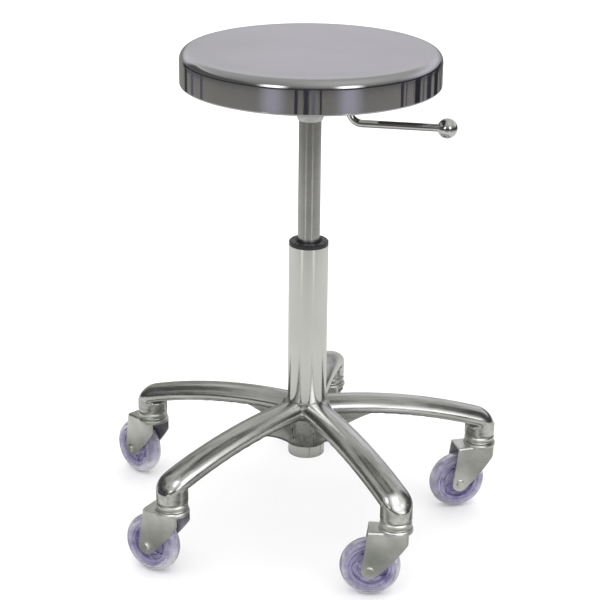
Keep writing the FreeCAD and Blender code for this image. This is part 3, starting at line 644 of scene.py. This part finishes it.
def aim_camera():
    """The camera at the photograph's place, turned, pitched and rolled as it was."""
    data = bpy.data.cameras.new("camera")
    data.lens = LENS
    data.sensor_width = SENSOR
    data.clip_start, data.clip_end = 0.05, 50.0
    camera = bpy.data.objects.new("camera", data)
    SCENE.collection.objects.link(camera)
    forward = Vector((
        math.sin(YAW) * math.cos(PITCH_DOWN), math.cos(YAW) * math.cos(PITCH_DOWN), -math.sin(PITCH_DOWN)
    ))
    right = forward.cross(Vector((0, 0, 1))).normalized()
    up = right.cross(forward)
    across = right * math.cos(ROLL) + up * math.sin(ROLL)
    above = up * math.cos(ROLL) - right * math.sin(ROLL)
    basis = Matrix((across, above, -forward)).transposed().to_4x4()
    place = Matrix.Translation(Vector((0, -VIEW_DISTANCE, VIEW_HEIGHT)))
    camera.matrix_world = Matrix.Rotation(VIEW_TURN, 4, "Z") @ place @ basis
    SCENE.camera = camera


# ---------------------------------------------------------------- studio
def plain_paper(name, grey):
    """The floor's matt paper."""
    mat, _, shader = new_material(name)
    shader.inputs["Base Color"].default_value = (grey, grey, grey, 1)
    shader.inputs["Roughness"].default_value = 0.9
    shader.inputs["Specular IOR Level"].default_value = 0.1
    return mat


def level_sheet(name, reach, height, mat):
    """A level square stage panel about the Z axis."""
    mesh = bpy.data.meshes.new(name)
    mesh.from_pydata(
        [(x * reach, y * reach, height) for x, y in ((-1, -1), (1, -1), (1, 1), (-1, 1))], [], [(0, 1, 2, 3)]
    )
    mesh.materials.append(mat)
    panel = bpy.data.objects.new(name, mesh)
    SCENE.collection.objects.link(panel)
    return panel


def round_point(azimuth, distance, height):
    """A point at an azimuth from the camera's side of the object, about +Z."""
    a = VIEW_TURN + math.radians(azimuth)
    return Vector((math.sin(a) * distance, -math.cos(a) * distance, height))


def glossy_only(panel):
    """Keeps a stage panel out of sight and out of the soft light: it is there only to be reflected."""
    panel.visible_camera = False
    panel.visible_shadow = False
    panel.visible_diffuse = False
    panel.visible_transmission = False


def glow(name):
    """A stage material that shines by itself, and the socket that takes its colour."""
    mat = bpy.data.materials.new(name)
    mat.use_nodes = True
    tree = mat.node_tree
    tree.nodes.remove(tree.nodes["Principled BSDF"])
    emission = tree.nodes.new("ShaderNodeEmission")
    tree.links.new(emission.outputs[0], tree.nodes["Material Output"].inputs["Surface"])
    return mat, tree, emission


def fade(u, soft):
    """1 in the middle of -1 to 1, falling smoothly to 0 over the soft part at each end."""
    if soft <= 0:
        return 1.0
    t = min(1.0, (1 - abs(u)) / soft)
    return t * t * (3 - 2 * t)


def card_object(name, columns, rows, place, soft, colour, solid_foot=False, from_below=False):
    """A reflected card: place(u, v) puts its points, with u and v from 0 to 1.

    It fades out over the soft part of its edges, given as (along u, along v), unless its foot is solid.
    A card that shows from below only is clear to whatever looks down on it.
    """
    mat, tree, emission = glow(name)
    emission.inputs["Color"].default_value = (*colour, 1)
    cover = tree.nodes.new("ShaderNodeAttribute")
    cover.attribute_name = "cover"
    clear = tree.nodes.new("ShaderNodeBsdfTransparent")
    mix = tree.nodes.new("ShaderNodeMixShader")
    amount = cover.outputs["Fac"]
    if from_below:
        geometry = tree.nodes.new("ShaderNodeNewGeometry")
        shown = tree.nodes.new("ShaderNodeMath")
        shown.operation = "MULTIPLY"
        tree.links.new(amount, shown.inputs[0])
        tree.links.new(geometry.outputs["Backfacing"], shown.inputs[1])
        amount = shown.outputs[0]
    tree.links.new(amount, mix.inputs["Fac"])
    tree.links.new(clear.outputs[0], mix.inputs[1])
    tree.links.new(emission.outputs[0], mix.inputs[2])
    tree.links.new(mix.outputs[0], tree.nodes["Material Output"].inputs["Surface"])
    verts, faces, covers = [], [], []
    for i in range(columns + 1):
        for j in range(rows + 1):
            verts.append(place(i / columns, j / rows))
            v = 2 * j / rows - 1
            upright = 1.0 if solid_foot and v < 0 else fade(v, soft[1])
            covers.append(fade(2 * i / columns - 1, soft[0]) * upright)
            if i and j:
                k = i * (rows + 1) + j
                faces.append((k - rows - 2, k - 1, k, k - rows - 1))
    mesh = bpy.data.meshes.new(name)
    mesh.from_pydata(verts, [], faces)
    layer = mesh.attributes.new("cover", "FLOAT", "POINT")
    layer.data.foreach_set("value", covers)
    mesh.materials.append(mat)
    panel = bpy.data.objects.new(name, mesh)
    SCENE.collection.objects.link(panel)
    glossy_only(panel)
    return panel


def ring_card(name, azimuths, distance, low, high, colour, soft=(0.0, 0.0), solid_foot=False):
    """An upright reflected card on an arc round the object."""
    start, end = azimuths

    def place(u, v):
        return round_point(start + (end - start) * u, distance, low + (high - low) * v)
    return card_object(name, max(12, int(abs(end - start) / 4)), 12, place, soft, colour, solid_foot)


def sky_card(name, azimuths, near, far, height, colour, soft=(0.3, 0.3)):
    """A level reflected card on a sector round the object, seen only from below it."""
    start, end = azimuths

    def place(u, v):
        return round_point(end + (start - end) * u, near + (far - near) * v, height)
    return card_object(name, 24, 12, place, soft, colour, from_below=True)


def reflected_floor():
    """The paper as the metal sees it: shaded under the arms, pale beyond, dim in the distance."""
    mat, tree, emission = glow("reflected_floor")
    place = tree.nodes.new("ShaderNodeTexCoord")

    def distance_from(point, reach):
        shift = tree.nodes.new("ShaderNodeVectorMath")
        shift.operation = "SUBTRACT"
        shift.inputs[1].default_value = point
        length = tree.nodes.new("ShaderNodeVectorMath")
        length.operation = "LENGTH"
        tree.links.new(place.outputs["Object"], shift.inputs[0])
        tree.links.new(shift.outputs[0], length.inputs[0])
        away = tree.nodes.new("ShaderNodeMapRange")
        away.inputs["From Max"].default_value = reach
        tree.links.new(length.outputs["Value"], away.inputs["Value"])
        return away.outputs["Result"]

    shade = ramp(tree, distance_from((0, 0, 0), 0.5), (
        (0.0, (0.22, 0.22, 0.21)), (0.36, (0.25, 0.25, 0.24)), (0.44, (0.80, 0.80, 0.79)),
        (0.54, (0.85, 0.85, 0.84)), (0.60, (0.22, 0.22, 0.23)), (0.72, (0.28, 0.28, 0.28)),
        (0.80, (1, 1, 1)),
    ))
    tone = ramp(tree, distance_from(round_point(180, 0.55, 0), 4.0), (
        (0.0, (0.66, 0.66, 0.64)), (0.30, (0.62, 0.62, 0.60)), (0.41, (0.52, 0.52, 0.50)),
        (0.47, (0.30, 0.295, 0.275)), (0.62, (0.245, 0.24, 0.22)), (0.78, (0.22, 0.215, 0.20)),
        (1.0, (0.15, 0.148, 0.145)),
    ))
    both = tree.nodes.new("ShaderNodeMix")
    both.data_type = "RGBA"
    both.blend_type = "MULTIPLY"
    both.inputs["Factor"].default_value = 1.0
    tree.links.new(tone, both.inputs[6])
    tree.links.new(shade, both.inputs[7])
    tree.links.new(both.outputs[2], emission.inputs["Color"])
    glossy_only(level_sheet("reflected_floor", 9.0, -0.5 * MM, mat))


SKY_STRENGTH = 1.42


def studio_world():
    """White to the eye and for the soft light; in reflections, a dark horizon and a pale ceiling."""
    world = bpy.data.worlds.new("studio")
    SCENE.world = world
    world.use_nodes = True
    tree = world.node_tree
    background = tree.nodes["Background"]
    background.inputs["Color"].default_value = (1, 1, 1, 1)
    background.inputs["Strength"].default_value = SKY_STRENGTH
    place = tree.nodes.new("ShaderNodeTexCoord")
    turned = tree.nodes.new("ShaderNodeMapping")
    turned.inputs["Rotation"].default_value = (0, 0, -VIEW_TURN)
    tree.links.new(place.outputs["Generated"], turned.inputs["Vector"])
    split = tree.nodes.new("ShaderNodeSeparateXYZ")
    tree.links.new(turned.outputs[0], split.inputs[0])
    height = tree.nodes.new("ShaderNodeMapRange")
    tree.links.new(split.outputs["Z"], height.inputs["Value"])
    front = ramp(tree, height.outputs["Result"], (
        (0.0, (0.020, 0.019, 0.026)), (0.07, (0.040, 0.038, 0.048)), (0.14, (0.09, 0.092, 0.085)),
        (0.28, (0.155, 0.16, 0.145)), (0.50, (0.27, 0.275, 0.255)), (0.70, (0.35, 0.355, 0.335)),
        (0.87, (0.41, 0.415, 0.395)), (1.0, (0.43, 0.435, 0.42)),
    ))
    balance = tree.nodes.new("ShaderNodeMapRange")
    balance.interpolation_type = "SMOOTHSTEP"
    for key, value in (("From Min", -0.35), ("From Max", 0.35), ("To Min", 0.85), ("To Max", 1.30)):
        balance.inputs[key].default_value = value
    tree.links.new(split.outputs["X"], balance.inputs["Value"])
    scaled = tree.nodes.new("ShaderNodeVectorMath")
    scaled.operation = "SCALE"
    tree.links.new(front, scaled.inputs[0])
    tree.links.new(balance.outputs["Result"], scaled.inputs["Scale"])
    front = scaled.outputs[0]
    back = ramp(tree, height.outputs["Result"], (
        (0.0, (0.30, 0.295, 0.30)), (0.12, (0.47, 0.46, 0.48)), (0.20, (0.57, 0.56, 0.60)),
        (0.28, (0.72, 0.71, 0.75)), (0.42, (0.68, 0.67, 0.70)), (0.62, (0.43, 0.435, 0.42)),
        (1.0, (0.43, 0.435, 0.42)),
    ))
    side = tree.nodes.new("ShaderNodeMapRange")
    side.inputs["From Min"].default_value = -0.25
    side.inputs["From Max"].default_value = 0.55
    side.interpolation_type = "SMOOTHSTEP"
    tree.links.new(split.outputs["Y"], side.inputs["Value"])
    blend = tree.nodes.new("ShaderNodeMix")
    blend.data_type = "RGBA"
    tree.links.new(side.outputs["Result"], blend.inputs["Factor"])
    tree.links.new(front, blend.inputs[6])
    tree.links.new(back, blend.inputs[7])
    room = tree.nodes.new("ShaderNodeBackground")
    tree.links.new(blend.outputs[2], room.inputs["Color"])
    path = tree.nodes.new("ShaderNodeLightPath")
    mix = tree.nodes.new("ShaderNodeMixShader")
    tree.links.new(path.outputs["Is Glossy Ray"], mix.inputs["Fac"])
    tree.links.new(background.outputs[0], mix.inputs[1])
    tree.links.new(room.outputs[0], mix.inputs[2])
    tree.links.new(mix.outputs[0], tree.nodes["World Output"].inputs["Surface"])


# Colours of the reflected cards.
SOFTBOX = (2.6, 2.6, 2.7)
PATCH = (0.40, 0.40, 0.46)
STAND = (1.7, 1.7, 1.65)
ROOM = (0.040, 0.038, 0.048)

# Dark legs and frames round the studio: where each starts and ends, in degrees from the camera, and its grey.
DARK_LEGS = (
    (-13, -10.8, 0.035), (-6, -1.2, 0.045), (1.4, 3.6, 0.15), (7, 9.2, 0.04), (80.5, 84.5, 0.05),
    (86.5, 88, 0.09), (97, 106, 0.028), (109, 112, 0.12), (116, 125, 0.045), (130, 141, 0.03),
    (144, 147, 0.10), (149, 154, 0.04), (-160, -146, 0.10), (-143, -131, 0.045), (-124, -118, 0.13),
    (-107, -103, 0.09),
)


def studio():
    """The floor, and what the polished metal reflects of the studio. Cards take azimuths, then distances."""
    level_sheet("floor", 6.0, 0, plain_paper("stage_floor", 0.95)).visible_glossy = False
    reflected_floor()
    # Two softboxes, the pale patches they throw on the floor, and the bright edges of their stands.
    for name, middle, stand in (("left", -32, -39), ("right", 32.5, 31)):
        width = (middle - 15, middle + 15)
        ring_card(name + "_box", width, 2.9, 0.66, 2.5, SOFTBOX, (0.9, 0.6))
        ring_card(name + "_patch", width, 2.3, -0.05, 0.17, PATCH, (0.9, 0.7))
        ring_card(name + "_stand", (stand * 0.97 - 3, stand * 0.97 + 3), 1.12, 0.0, 0.15, STAND)
    # The dim far side of the room, low all round, and what stands low behind the stool.
    ring_card("low_room", (-152, 152), 2.62, -0.05, 0.80, ROOM, (0.06, 0.10), True)
    ring_card("low_back", (182, 226), 1.25, 0.0, 0.84, (0.27, 0.275, 0.245), (0.15, 0.25), True)
    ring_card("dim_side", (-142, -50), 3.0, 0.84, 2.3, (0.10, 0.105, 0.092), (0.30, 0.35), True)
    # The far floor as the seat sees it from above: a sector given backwards shows from above only.
    sky_card("far_floor_low", (152, -152), 2.08, 2.61, 0.15, (0.19, 0.19, 0.18), (0.06, 0.12))
    sky_card("far_floor_high", (152, -152), 2.00, 2.61, 0.25, (0.17, 0.17, 0.165), (0.06, 0.12))
    # Sheets below seat height, which only the base looks up at: pale in front, dark to the sides.
    sky_card("low_sky_right", (-5, 70), 0.17, 1.15, 0.50, (1.05, 1.05, 1.07))
    sky_card("low_sky_left", (-75, -10), 0.17, 1.15, 0.505, (0.50, 0.50, 0.49))
    sky_card("low_sky_far", (4, 60), 0.50, 2.1, 0.495, (1.7, 1.7, 1.75))
    sky_card("low_dark_right", (74, 122), 0.28, 1.9, 0.50, (0.05, 0.05, 0.055), (0.3, 0.2))
    sky_card("low_dark_left", (-142, -98), 0.28, 1.9, 0.50, (0.06, 0.06, 0.062), (0.3, 0.2))
    # Two bright ones, for the highlights on the ends of the front arms.
    sky_card("dome_light_left", (-46, -10), 0.26, 0.62, 0.49, SOFTBOX, (0.8, 0.6))
    sky_card("dome_light_right", (10, 48), 0.26, 0.62, 0.49, SOFTBOX, (0.8, 0.6))
    for start, end, grey in DARK_LEGS:
        name = f"dark_leg_{int(start * 10)}"
        ring_card(name, (start, end), 2.0, 0.0, 0.5, (grey, grey, grey * 1.25), (0.25, 0.0))
    studio_world()
    SCENE.view_settings.view_transform = "Standard"


aim_camera()
studio()
